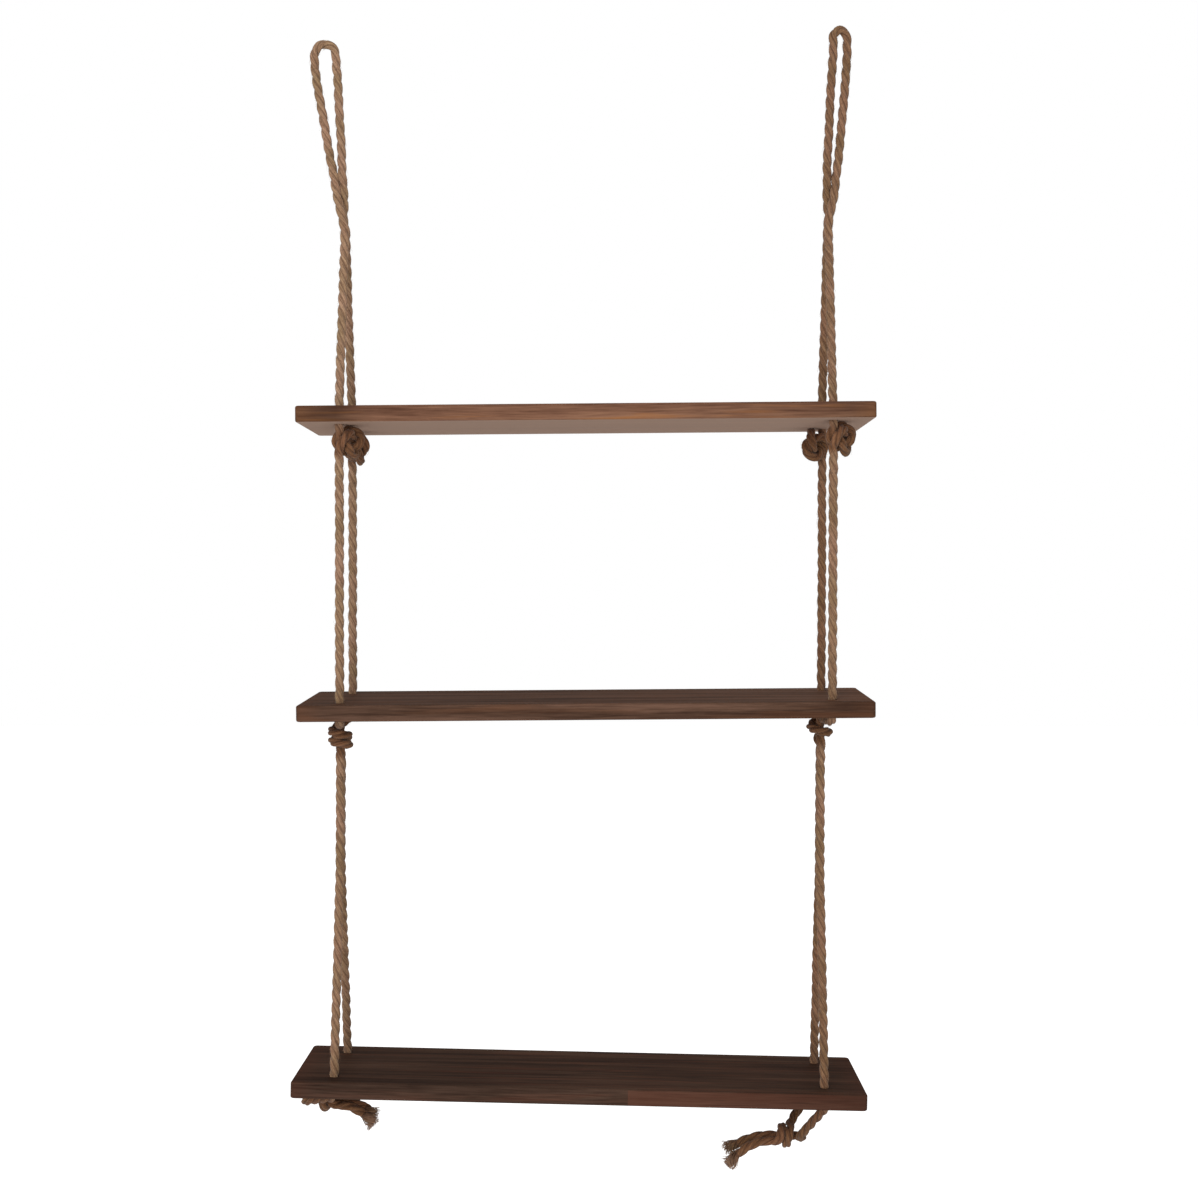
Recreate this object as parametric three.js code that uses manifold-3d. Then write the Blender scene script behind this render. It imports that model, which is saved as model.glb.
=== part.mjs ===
// Hanging rope shelf: three boards carried one below another by two knotted jute ropes.
// Millimetres, +Z up, the front of the shelf faces -Y. The origin lies midway between the two hooks
// that the rope loops hang on.
import * as THREE from 'three';
import Module from 'manifold-3d';
import { mergeVertices } from 'three/addons/utils/BufferGeometryUtils.js';

const wasm = await Module();
wasm.setup();

// Boards
const boardLength = 600;
const boardDepth = 150;
const boardThickness = 17;
const boardEase = 1;
const holeEndInset = 42;
const holeEdgeInset = 27;
const holeClearance = 1;
const holeSegments = 16;

// Rope, drawn thinner where an overhand knot squeezes it
const ropeDiameter = 8;
const knottedShare = 0.9;
const ropeSides = 8;
const straightRingShare = 2.5;
const bentRingShare = 0.62;
const domeSteps = 2;
const seatGap = 0.3;
const sideGap = 0.7;
const swingLimit = 15;

// Hanging heights: each drop runs down to the middle of a board's top face
const hookSpacing = 550;
const hookStep = 14;
const topDrop = 393;
const middleDrop = 306;
const bottomDrop = 403;

// How each board hangs: its shift to the right, and how far its right end and its front edge
// stand above the other two, measured between the holes
const hang = {
  top: { shift: 4, rightRise: 4, frontRise: 2 },
  middle: { shift: 4, rightRise: 4, frontRise: -3 },
  bottom: { shift: -3, rightRise: -11, frontRise: 1 },
};

// Loops on the hooks. Each limb's stations are shares of the way down and of the crown's half width;
// between the two turn shares the limbs pass round each other, from side by side to front and back.
const crownDrop = 20;
const neckHeight = 186;
const crownSteps = 8;
const turnSteps = 4;
const loops = {
  left: {
    halfWidth: 11.5,
    stationShares: [[0.1, 0.97], [0.22, 0.86], [0.33, 0.74], [0.45, 0.64], [0.56, 0.5]],
    turnStartShare: 0.64,
    turnEndShare: 0.88,
  },
  right: {
    halfWidth: 7.5,
    stationShares: [[0.1, 1], [0.25, 0.97], [0.42, 0.86], [0.6, 0.78]],
    turnStartShare: 0.71,
    turnEndShare: 0.9,
  },
};

// Overhand knots under the top board, in shares of the knotted rope's diameter
const overhandShares = { round: 1.48, lobe: 0.61, depth: 0.66, load: 1.25, pass: 0.69, reach: 2.42 };
const overhandStartShare = 0.086;
const overhandPoints = 13;
const overhandSide = {
  left: { front: 1, back: 1 },
  right: { front: 1, back: -1 },
};
// Each knot hangs to its side of its rope and, by this many degrees, in towards the board's middle
const overhandTurn = {
  left: { front: 50, back: 60 },
  right: { front: 45, back: 50 },
};

// Ties under the middle board: the back rope is wound round the front one, then both run down together
const windPitch = 9.2;
const windSteps = 8;
const middleTies = {
  left: { shift: -7, turns: 1.75 },
  right: { shift: -7, turns: 0.75 },
};
const splitHeight = 220;

// Ties under the bottom board: the front rope turns aside and the back rope is wound round it, and both
// end in bare tails. Reaches run from the holes away from the tails, depths from under the board.
const bottomTurns = 1.25;
const bottomTies = {
  left: { tailSide: 1, turnReach: 36, windReach: 20, depth: 16, tail: 38, sag: 20, splay: 5 },
  right: { tailSide: -1, turnReach: -18, windReach: -30, depth: 44, tail: 48, sag: 26, splay: 6 },
};

const ropeRadius = ropeDiameter / 2;
const knottedDiameter = ropeDiameter * knottedShare;
const holeRadius = ropeRadius + holeClearance;
const holeX = boardLength / 2 - holeEndInset;
const holeY = boardDepth / 2 - holeEdgeInset;
const sideBySide = ropeDiameter + sideGap;
const strandOffset = sideBySide / 2;
const domeGap = ropeRadius + seatGap;
const limitSine = Math.sin(THREE.MathUtils.degToRad(swingLimit));
const runReach = 2.5 * ropeRadius;
const cutSegments = 32;
const underBoard = boardThickness + ropeRadius + 2 * sideGap;
const knotCentre = boardThickness + sideGap + overhandShares.reach * knottedDiameter;
const knotExit = knotCentre + overhandShares.reach * knottedDiameter;
const knotHinge = knotExit + domeGap;

const wood = new THREE.MeshStandardMaterial({ color: '#5a3b30', roughness: 0.6, metalness: 0 });
const jute = new THREE.MeshStandardMaterial({ color: '#8d6e57', roughness: 0.9, metalness: 0 });

const sides = { left: -1, right: 1 };
const rows = { front: -1, back: 1 };
const shelf = new THREE.Group();
const vec = (x, y, z) => new THREE.Vector3(x, y, z);
const round = (value) => Number(value.toFixed(2));
const place = (point) => point.toArray().map(round).join(', ');
const print = (what, value) => console.log(`${what}: ${value}`);

function addPiece(name, geometry, material, parent = shelf) {
  const piece = new THREE.Mesh(geometry, material.clone());
  piece.name = name;
  parent.add(piece);
  return piece;
}

function ring(count, radius, x, y) {
  return Array.from({ length: count }, (_, i) => {
    const angle = (i / count) * Math.PI * 2;
    return new THREE.Vector2(x + radius * Math.cos(angle), y + radius * Math.sin(angle));
  });
}

// A board is one plank with four rope holes; a small bevel eases its edges and the rims of the holes
function boardGeometry() {
  const halfLength = boardLength / 2;
  const halfDepth = boardDepth / 2;
  const outline = new THREE.Shape([
    new THREE.Vector2(-halfLength, -halfDepth),
    new THREE.Vector2(halfLength, -halfDepth),
    new THREE.Vector2(halfLength, halfDepth),
    new THREE.Vector2(-halfLength, halfDepth),
  ]);
  for (const x of Object.values(sides)) {
    for (const y of Object.values(rows)) {
      outline.holes.push(new THREE.Path(ring(holeSegments, holeRadius, x * holeX, y * holeY)));
    }
  }
  const geometry = new THREE.ExtrudeGeometry(outline, {
    depth: boardThickness - 2 * boardEase,
    bevelThickness: boardEase,
    bevelSize: boardEase,
    bevelOffset: -boardEase,
    bevelSegments: 1,
  });
  geometry.translate(0, 0, boardEase - boardThickness);
  return geometry;
}

// Hangs a board, and gives the place on its top face where each rope enters
function hangBoard(name, drop, setBack = 0) {
  const { shift, rightRise, frontRise } = hang[name];
  const holder = new THREE.Group();
  holder.position.set(shift, setBack, -drop);
  holder.rotation.set(-Math.atan(frontRise / (2 * holeY)), -Math.atan(rightRise / (2 * holeX)), 0);
  holder.updateMatrixWorld(true);
  shelf.add(holder);
  addPiece(`${name}_board`, boardGeometry(), wood, holder);
  const hole = (side, row) => holder.localToWorld(vec(sides[side] * holeX, rows[row] * holeY, 0));
  return { holder, hole };
}

// A round section swept along its route
function sweptRope(points, diameter = ropeDiameter, ringShare = bentRingShare) {
  const route = new THREE.CatmullRomCurve3(points);
  return new THREE.ExtrudeGeometry(new THREE.Shape(ring(ropeSides, diameter / 2, 0, 0)), {
    steps: Math.ceil(route.getLength() / (ringShare * diameter)),
    extrudePath: route,
  });
}

function solidOf(geometry) {
  geometry.deleteAttribute('normal');
  geometry.deleteAttribute('uv');
  const merged = mergeVertices(geometry);
  return new wasm.Manifold(new wasm.Mesh({
    numProp: 3,
    vertProperties: new Float32Array(merged.attributes.position.array),
    triVerts: new Uint32Array(merged.index.array),
  }));
}

function geometryOf(solid) {
  const mesh = solid.getMesh();
  const geometry = new THREE.BufferGeometry();
  geometry.setAttribute('position', new THREE.BufferAttribute(mesh.vertProperties, 3));
  geometry.setIndex(new THREE.BufferAttribute(mesh.triVerts, 1));
  geometry.computeVertexNormals();
  return geometry;
}

// Half of a round end's outline, from the rope's axis out to just short of its side
function domeProfile(base, direction) {
  return Array.from({ length: domeSteps }, (_, step) => {
    const angle = (step / domeSteps) * (Math.PI / 2);
    return new THREE.Vector2(ropeRadius * Math.sin(angle), base + direction * ropeRadius * Math.cos(angle));
  });
}

// A straight length of rope: a round end is centred on its bending point, and a flat one is square
function straightRope(from, to, roundTop, roundFoot) {
  const length = from.distanceTo(to);
  const profile = roundFoot ? domeProfile(0, -1) : [new THREE.Vector2(0, 0)];
  const rings = Math.ceil(length / (straightRingShare * ropeDiameter));
  for (let i = 0; i <= rings; i += 1) profile.push(new THREE.Vector2(ropeRadius, (length * i) / rings));
  profile.push(...(roundTop ? domeProfile(length, 1).reverse() : [new THREE.Vector2(0, length)]));
  const geometry = new THREE.LatheGeometry(profile, ropeSides);
  const up = from.clone().sub(to).normalize();
  geometry.applyQuaternion(new THREE.Quaternion().setFromUnitVectors(vec(0, 1, 0), up));
  return geometry.translate(to.x, to.y, to.z);
}

// Least gap between the turns of one rope, or between two ropes, along their centre lines
function leastGap(first, second, diameter = ropeDiameter) {
  const route = new THREE.CatmullRomCurve3(first);
  const mate = second ? new THREE.CatmullRomCurve3(second) : route;
  const points = route.getSpacedPoints(Math.ceil(route.getLength()));
  const mates = mate.getSpacedPoints(Math.ceil(mate.getLength()));
  let least = Infinity;
  points.forEach((point, i) => {
    mates.forEach((other, j) => {
      if (second || Math.abs(i - j) > 1.6 * diameter) least = Math.min(least, point.distanceTo(other));
    });
  });
  return round(least - diameter);
}

// Both loops swing fore and aft on one line, through the ends of both crowns
const crownCentre = {};
for (const [side, x] of Object.entries(sides)) {
  crownCentre[side] = vec((x * hookSpacing) / 2, 0, (x * hookStep) / 2 + ropeRadius - crownDrop);
}
const swingAxis = crownCentre.right.clone().sub(crownCentre.left).normalize();
const swingUp = vec(-swingAxis.z, 0, swingAxis.x);
const ballShare = 0.85;
const ballRadius = ropeRadius * ballShare;
const ballRise = ballRadius - ropeRadius * limitSine;

function crownRoute(side) {
  const { halfWidth } = loops[side];
  const at = (across, up) => crownCentre[side].clone()
    .addScaledVector(swingAxis, across)
    .addScaledVector(swingUp, up);
  const points = [at(-halfWidth, ballRadius + seatGap)];
  for (let step = 0; step <= crownSteps; step += 1) {
    const angle = Math.PI * (1 - step / crownSteps);
    points.push(at(halfWidth * Math.cos(angle), crownDrop - halfWidth + halfWidth * Math.sin(angle)));
  }
  points.push(at(halfWidth, ballRadius + seatGap));
  return points;
}

// The outer limb passes to the front and the inner one to the back
function limbRoute(side, row, neck) {
  const { halfWidth, stationShares, turnStartShare, turnEndShare } = loops[side];
  const away = sides[side] * -rows[row];
  const at = (down, spread, angle) => crownCentre[side].clone().lerp(neck, down)
    .addScaledVector(swingAxis, away * spread * Math.cos(angle))
    .add(vec(0, rows[row] * spread * Math.sin(angle), 0));
  const points = [at(0, halfWidth, 0).addScaledVector(swingUp, ballRise), at(0, halfWidth, 0)];
  for (const [down, share] of stationShares) {
    points.push(at(down, Math.max(halfWidth * share, strandOffset), 0));
  }
  for (let step = 0; step <= turnSteps; step += 1) {
    const share = step / turnSteps;
    const down = THREE.MathUtils.lerp(turnStartShare, turnEndShare, share);
    points.push(at(down, strandOffset, (share * Math.PI) / 2));
  }
  points.push(vec(neck.x, rows[row] * strandOffset, neck.z + 2 * domeGap));
  points.push(vec(neck.x, rows[row] * strandOffset, neck.z + domeGap));
  return points;
}

// A bent limb with a ball on its upper end, which turns under the flat end of the crown
function limbGeometry(points) {
  const ball = new THREE.SphereGeometry(ballRadius, ropeSides, ropeSides);
  ball.rotateX(Math.PI / 2);
  ball.translate(points[1].x, points[1].y, points[1].z);
  return geometryOf(solidOf(sweptRope(points, ropeDiameter, 2 * bentRingShare)).add(solidOf(ball)));
}

// The overhand knot: an open three-lobed turn that hangs to one side of the rope it is tied in
function overhandRoute(side, row) {
  const { round: turn, lobe, depth, load, pass } = overhandShares;
  const away = overhandSide[side][row];
  const turned = THREE.MathUtils.degToRad(overhandTurn[side][row]);
  const acrossWay = vec(away * Math.cos(turned), -rows[row] * Math.sin(turned), 0);
  const alongWay = vec(Math.sin(turned), rows[row] * away * Math.cos(turned), 0);
  const middle = vec(sides[side] * holeX, rows[row] * holeY, -knotCentre);
  const point = (across, along, up) => middle.clone()
    .addScaledVector(acrossWay, across * knottedDiameter)
    .addScaledVector(alongWay, along * knottedDiameter)
    .add(vec(0, 0, up * knottedDiameter));
  const points = [vec(sides[side] * holeX, rows[row] * holeY, -domeGap)];
  points.push(point(0, 0, 1 + load), point(0, 0, load), point(0, -pass, 0));
  for (let i = 0; i < overhandPoints; i += 1) {
    const share = THREE.MathUtils.lerp(overhandStartShare, 1 - overhandStartShare, i / (overhandPoints - 1));
    const angle = share * Math.PI * 2;
    const spread = turn + lobe * Math.cos(3 * angle);
    points.push(point(
      turn + lobe - spread * Math.cos(2 * angle),
      -depth * Math.sin(3 * angle),
      -spread * Math.sin(2 * angle),
    ));
  }
  points.push(point(0, pass, 0), point(0, 0, -load));
  points.push(vec(sides[side] * holeX, rows[row] * holeY, -knotExit));
  return points;
}

// Turns of one rope wound round another, whose line runs along the third direction from the start.
// The turns set off on the first direction's side of that line, moving towards the second.
function windTurns(start, [outward, onward, along], turns) {
  const count = Math.ceil(turns * windSteps);
  return Array.from({ length: count + 1 }, (_, i) => {
    const angle = (i / count) * turns * Math.PI * 2;
    return start.clone()
      .addScaledVector(outward, sideBySide * Math.cos(angle))
      .addScaledVector(onward, sideBySide * Math.sin(angle))
      .addScaledVector(along, (windPitch * angle) / (Math.PI * 2));
  });
}

// The start that both ropes of a tie share: down through the hole and round the hole's lower rim
function fromHole(side, row, lean) {
  const x = sides[side] * holeX;
  const y = rows[row] * holeY;
  return [
    vec(x, y, -domeGap),
    vec(x, y, -boardThickness),
    vec(x + lean, y - rows[row] * ropeRadius * 0.75, -underBoard),
  ];
}

// The joined runs swing fore and aft on one line under both middle ties. Their tops are rounded about that
// line, and the ties end in the matching hollow.
function roundedAbout(centre, axis, radius) {
  const cylinder = new THREE.CylinderGeometry(radius, radius, 2 * sideBySide, cutSegments);
  cylinder.applyQuaternion(new THREE.Quaternion().setFromUnitVectors(vec(0, 1, 0), axis));
  cylinder.translate(centre.x, centre.y, centre.z);
  return solidOf(cylinder);
}

const windTop = underBoard + 2 * sideBySide - ropeRadius;
function middleTieExit(side) {
  return windTop + middleTies[side].turns * windPitch + 1.75 * ropeDiameter;
}

function middleTieRoutes(side) {
  const { shift, turns } = middleTies[side];
  const holeLine = sides[side] * holeX;
  const x = holeLine + shift;
  const windEnd = windTop + turns * windPitch;
  const exit = middleTieExit(side);
  const front = fromHole(side, 'front', shift / 8);
  front.push(vec(holeLine + shift / 2, -holeY / 2, -underBoard - ropeRadius / 2));
  front.push(vec(x, -ropeDiameter, -underBoard - ropeRadius / 2));
  front.push(vec(x, -ropeRadius / 2, -underBoard - ropeDiameter));
  front.push(vec(x, 0, -windTop));
  front.push(vec(x, 0, -windEnd + ropeDiameter));
  front.push(vec(x, 0, -windEnd + ropeRadius / 2));
  front.push(vec(x, -strandOffset, -windEnd - 0.9 * ropeDiameter));
  front.push(vec(x, -strandOffset, -exit));
  const back = fromHole(side, 'back', shift / 8);
  back.push(vec(holeLine + shift / 2, holeY / 2, -underBoard - ropeRadius));
  back.push(vec(x - sideBySide, 1.2 * ropeDiameter, -windTop + windPitch / 6));
  back.push(...windTurns(vec(x, 0, -windTop), [vec(-1, 0, 0), vec(0, -1, 0), vec(0, 0, -1)], turns));
  back.push(vec(x - ropeRadius / 2, strandOffset * 1.6, -windEnd - 0.6 * ropeDiameter));
  back.push(vec(x, strandOffset, -windEnd - 1.3 * ropeDiameter));
  back.push(vec(x, strandOffset, -exit));
  return { front, back };
}

function bottomTieRoutes(side) {
  const { tailSide, turnReach, windReach, depth } = bottomTies[side];
  const line = -underBoard - depth;
  const turnX = sides[side] * holeX - tailSide * turnReach;
  const windX = sides[side] * holeX - tailSide * windReach;
  const endX = windX + tailSide * (bottomTurns + 1) * windPitch;
  const front = fromHole(side, 'front', -tailSide);
  const turnStart = vec(turnX + tailSide * ropeRadius / 2, -1.8 * ropeDiameter, line + depth * 0.1);
  front.push(front.at(-1).clone().lerp(turnStart, 0.5), turnStart);
  front.push(vec(turnX, -1.2 * ropeRadius, line));
  front.push(vec(turnX + tailSide * ropeDiameter, 0, line));
  front.push(vec(windX + tailSide * ropeRadius, 0, line));
  front.push(vec(endX - tailSide * ropeDiameter, 0, line));
  front.push(vec(endX, 0, line));
  const back = fromHole(side, 'back', -tailSide);
  const windStart = vec(windX - 2 * tailSide * sideGap, 1.2 * ropeDiameter, line + sideBySide + depth * 0.05);
  back.push(back.at(-1).clone().lerp(windStart, 0.5), windStart);
  const sense = [vec(0, 0, 1), vec(0, -1, 0), vec(tailSide, 0, 0)];
  back.push(...windTurns(vec(windX, 0, line), sense, bottomTurns));
  back.push(vec(endX - tailSide * ropeRadius, -sideBySide, line - ropeRadius));
  back.push(vec(endX, -sideBySide, line - ropeRadius));
  return { front, back };
}

// A bare tail runs on straight from the end of its tie, then droops; the front one droops less
const straightShare = 0.15;
const frontSagShare = 0.75;
function tailRoute(side, row, tie) {
  const { tailSide, tail, sag, splay } = bottomTies[side];
  const along = new THREE.CatmullRomCurve3(tie).getTangent(1);
  const drop = row === 'front' ? sag * frontSagShare : sag;
  return [0, straightShare, 0.4, 0.7, 1].map((share) => tie.at(-1).clone()
    .addScaledVector(along, 2 * seatGap + tail * Math.min(share, straightShare))
    .add(vec(
      tailSide * tail * Math.max(share - straightShare, 0),
      -rows[row] * splay * share ** 3,
      -drop * share ** 2,
    )));
}

const top = hangBoard('top', topDrop);
const middle = hangBoard('middle', topDrop + middleDrop);
const tieBend = (side) => middle.holder.localToWorld(
  vec(sides[side] * holeX + middleTies[side].shift, 0, -middleTieExit(side) - ropeRadius),
);
const runAxis = tieBend('right').sub(tieBend('left')).normalize();
const setBack = (tieBend('left').y + tieBend('right').y) / 2;
const bottom = hangBoard('bottom', topDrop + middleDrop + bottomDrop, setBack);

function middleOf(board, side) {
  return board.hole(side, 'front').lerp(board.hole(side, 'back'), 0.5);
}

for (const side of Object.keys(sides)) {
  const neck = middleOf(top, side).add(vec(0, 0, neckHeight));
  const split = middleOf(bottom, side).add(vec(0, 0, splitHeight));
  const middleTie = middleTieRoutes(side);
  const bottomTie = bottomTieRoutes(side);
  const limbs = {};
  const leg = (name, from, to) => addPiece(`${side}_${name}`, straightRope(from, to, true, true), jute);
  addPiece(`${side}_loop_crown`, sweptRope(crownRoute(side)), jute);
  for (const row of Object.keys(rows)) {
    const beside = vec(0, rows[row] * strandOffset, 0);
    limbs[row] = limbRoute(side, row, neck);
    addPiece(`${side}_loop_limb_${row}`, limbGeometry(limbs[row]), jute);
    leg(`upper_leg_${row}`, neck.clone().add(beside), top.hole(side, row));
    const knot = overhandRoute(side, row);
    addPiece(`${side}_overhand_knot_${row}`, sweptRope(knot, knottedDiameter), jute, top.holder);
    const knotFoot = top.holder.localToWorld(vec(sides[side] * holeX, rows[row] * holeY, -knotHinge));
    leg(`middle_leg_${row}`, knotFoot, middle.hole(side, row));
    const tie = solidOf(sweptRope(middleTie[row]).applyMatrix4(middle.holder.matrixWorld));
    const hollow = roundedAbout(tieBend(side), runAxis, runReach + seatGap / 2);
    addPiece(`${side}_middle_tie_${row}`, geometryOf(tie.subtract(hollow)), jute);
    const runTop = tieBend(side).add(beside).add(vec(0, 0, runReach));
    const runFoot = split.clone().add(beside).add(vec(0, 0, domeGap));
    const run = solidOf(straightRope(runTop, runFoot, false, false));
    const below = solidOf(straightRope(tieBend(side).add(beside), runFoot, false, false));
    const rounded = run.intersect(roundedAbout(tieBend(side), runAxis, runReach - seatGap / 2)).add(below);
    addPiece(`${side}_joined_run_${row}`, geometryOf(rounded), jute);
    leg(`lower_leg_${row}`, split.clone().add(beside), bottom.hole(side, row));
    addPiece(`${side}_bottom_tie_${row}`, sweptRope(bottomTie[row]), jute, bottom.holder);
    addPiece(`${side}_tail_${row}`, sweptRope(tailRoute(side, row, bottomTie[row])), jute, bottom.holder);
    print(`${side} ${row} overhand knot, least self-gap in mm`, leastGap(knot, null, knottedDiameter));
    print(`${side} ${row} middle tie, least self-gap in mm`, leastGap(middleTie[row]));
    print(`${side} ${row} bottom tie, least self-gap in mm`, leastGap(bottomTie[row]));
    print(`${side} ${row} foot of the overhand knot`, place(knotFoot));
  }
  print(`${side} loop limbs, least gap in mm`, leastGap(limbs.front, limbs.back));
  print(`${side} middle tie, least gap between its ropes in mm`, leastGap(middleTie.front, middleTie.back));
  print(`${side} bottom tie, least gap between its ropes in mm`, leastGap(bottomTie.front, bottomTie.back));
  print(`${side} crown ends`, place(crownCentre[side]));
  print(`${side} neck`, place(neck));
  print(`${side} holes in the top board`, place(middleOf(top, side)));
  print(`${side} holes in the middle board`, place(middleOf(middle, side)));
  print(`${side} bend under the middle tie`, place(tieBend(side)));
  print(`${side} split`, place(split));
  print(`${side} holes in the bottom board`, place(middleOf(bottom, side)));
}
print('line through both bends under the middle ties', runAxis.toArray());

export default shelf;
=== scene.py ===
# %% [markdown]
# # A hanging rope shelf
#
# Three dark stained boards hang one below another on two ropes of jute. Each rope is doubled over a hook,
# and its two halves pass through the front and back holes of every board, with a knot or a tie underneath
# that carries the board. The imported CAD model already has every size, place and joint, and this notebook
# gives it its looks: rope that is really laid from three strands, and wood with its grain and stain.
#
# Lengths are worked out in millimetres, as in the CAD source, and MM turns them into Blender's metres.

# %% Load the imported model
import math
import random

import bmesh
import bpy
import numpy as np
from mathutils import Matrix, Vector, noise


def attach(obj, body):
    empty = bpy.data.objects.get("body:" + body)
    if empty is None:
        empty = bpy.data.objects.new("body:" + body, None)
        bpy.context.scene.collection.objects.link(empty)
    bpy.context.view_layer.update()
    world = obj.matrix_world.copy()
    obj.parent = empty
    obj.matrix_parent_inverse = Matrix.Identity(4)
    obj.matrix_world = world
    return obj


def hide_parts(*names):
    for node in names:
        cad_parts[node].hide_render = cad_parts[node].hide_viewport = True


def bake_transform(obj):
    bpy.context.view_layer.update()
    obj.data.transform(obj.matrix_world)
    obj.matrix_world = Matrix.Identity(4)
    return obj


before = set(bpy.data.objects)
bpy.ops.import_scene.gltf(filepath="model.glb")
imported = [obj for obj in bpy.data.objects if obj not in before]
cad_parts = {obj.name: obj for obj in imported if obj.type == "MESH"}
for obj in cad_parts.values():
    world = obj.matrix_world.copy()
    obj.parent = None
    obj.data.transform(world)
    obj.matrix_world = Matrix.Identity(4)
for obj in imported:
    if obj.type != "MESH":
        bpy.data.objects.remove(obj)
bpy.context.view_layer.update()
MM = 0.001

# %% [markdown]
# ## The camera
#
# The photograph was taken from straight in front, at a height between the top and the middle board, so the
# top board shows its underside and the other two show their tops. The visible corners of the boards fix the
# place of the camera and its lens.

# %% Camera
PHOTO_PIXELS = 1198
FOCAL_PIXELS = 1763
SENSOR_WIDTH = 36
CAMERA_PLACE = (27, -1892, -562)
CAMERA_PITCH = 89.02
CAMERA_YAW = 0.286
camera_data = bpy.data.cameras.new("camera")
camera_data.sensor_width = SENSOR_WIDTH
camera_data.lens = FOCAL_PIXELS / PHOTO_PIXELS * SENSOR_WIDTH
camera = bpy.data.objects.new("camera", camera_data)
camera.location = Vector(CAMERA_PLACE) * MM
camera.rotation_euler = (math.radians(CAMERA_PITCH), 0, math.radians(CAMERA_YAW))
bpy.context.collection.objects.link(camera)
bpy.context.scene.camera = camera
print(f"lens {camera_data.lens:.1f} mm")

# %% [markdown]
# ## The way of each rope
#
# A real rope is one length of about three metres, from a bare end under the bottom board, up through every
# board to the hook, and down again. The points of its way are those of the CAD source: first the sizes of
# the shelf and how each board hangs.

# %% Sizes of the shelf
BOARD_THICKNESS = 17
HOLE_X = 258
HOLE_Y = 48
ROPE = 8
KNOTTED_SHARE = 0.9  # a rope pulled tight in a knot keeps this share of its thickness
SIDE_GAP = 0.7  # between ropes that lie side by side
SEAT_GAP = 0.3  # between a rope and what it hangs from
RADIUS = ROPE / 2
KNOTTED = ROPE * KNOTTED_SHARE
SIDE_BY_SIDE = ROPE + SIDE_GAP
STRAND_OFFSET = SIDE_BY_SIDE / 2
DOME_GAP = RADIUS + SEAT_GAP
UNDER_BOARD = BOARD_THICKNESS + RADIUS + 2 * SIDE_GAP
SIDES = {"left": -1, "right": 1}
ROWS = {"front": -1, "back": 1}
print(f"ropes {ROPE} mm thick, {KNOTTED:.1f} mm in a knot, {SIDE_BY_SIDE} mm apart side by side")

# %% How each board hangs
HANG = {
    "top": {"drop": 393, "shift": 4, "right_rise": 4, "front_rise": 2, "set_back": 0},
    "middle": {"drop": 699, "shift": 4, "right_rise": 4, "front_rise": -3, "set_back": 0},
    "bottom": {"drop": 1102, "shift": -3, "right_rise": -11, "front_rise": 1, "set_back": 2.045},
}


def board_origin(board):
    return Vector((HANG[board]["shift"], HANG[board]["set_back"], -HANG[board]["drop"]))


def tilt(board):
    """The pitch and roll of a board, from how high its front and its right end hang."""
    hang = HANG[board]
    return -math.atan(hang["front_rise"] / (2 * HOLE_Y)), -math.atan(hang["right_rise"] / (2 * HOLE_X))


def hanging(board):
    """The matrix that takes a point of a level board, in millimetres, to its place on the shelf."""
    pitch, roll = tilt(board)
    turned = Matrix.Translation(board_origin(board)) @ Matrix.Rotation(pitch, 4, "X")
    return turned @ Matrix.Rotation(roll, 4, "Y")


def hole(board, side, row):
    """The middle of a rope hole, on the board's top."""
    return hanging(board) @ Vector((SIDES[side] * HOLE_X, ROWS[row] * HOLE_Y, 0))


def between_holes(board, side, up):
    """A point above the middle between the front and the back hole of a side."""
    return hole(board, side, "front").lerp(hole(board, side, "back"), 0.5) + Vector((0, 0, up))


for board in HANG:
    print(f"{board} board: left front hole at", [round(c, 1) for c in hole(board, "left", "front")])


# %% [markdown]
# Where a rope bends, its way is a smooth curve through a few points. The curve is a Catmull-Rom spline, the
# same one that the CAD source draws, so rope and CAD solid lie on each other.

# %% A smooth way through points
SPAN_STEPS = 10


def smooth_way(points):
    """The points of a smooth curve through the given ones."""
    points = [Vector(point) for point in points]
    points = [2 * points[0] - points[1], *points, 2 * points[-1] - points[-2]]
    way = [points[1]]
    for p0, p1, p2, p3 in zip(points, points[1:], points[2:], points[3:]):
        d0, d1, d2 = (math.sqrt((b - a).length) for a, b in ((p0, p1), (p1, p2), (p2, p3)))
        leave = ((p1 - p0) / d0 - (p2 - p0) / (d0 + d1) + (p2 - p1) / d1) * d1
        arrive = ((p2 - p1) / d1 - (p3 - p1) / (d1 + d2) + (p3 - p2) / d2) * d1
        for step in range(1, SPAN_STEPS + 1):
            t = step / SPAN_STEPS
            way.append(
                p1 * (2 * t**3 - 3 * t**2 + 1)
                + leave * (t**3 - 2 * t**2 + t)
                + p2 * (3 * t**2 - 2 * t**3)
                + arrive * (t**3 - t**2)
            )
    return way


# %% [markdown]
# ### The loops on the hooks
#
# Each loop is an open bight. Its limbs come together below, pass round each other by a quarter turn, from
# side by side to front and back, and part again at the neck. The stations say, at shares of the way down
# from the crown to the neck, what share of its half width the loop still has.

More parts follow.
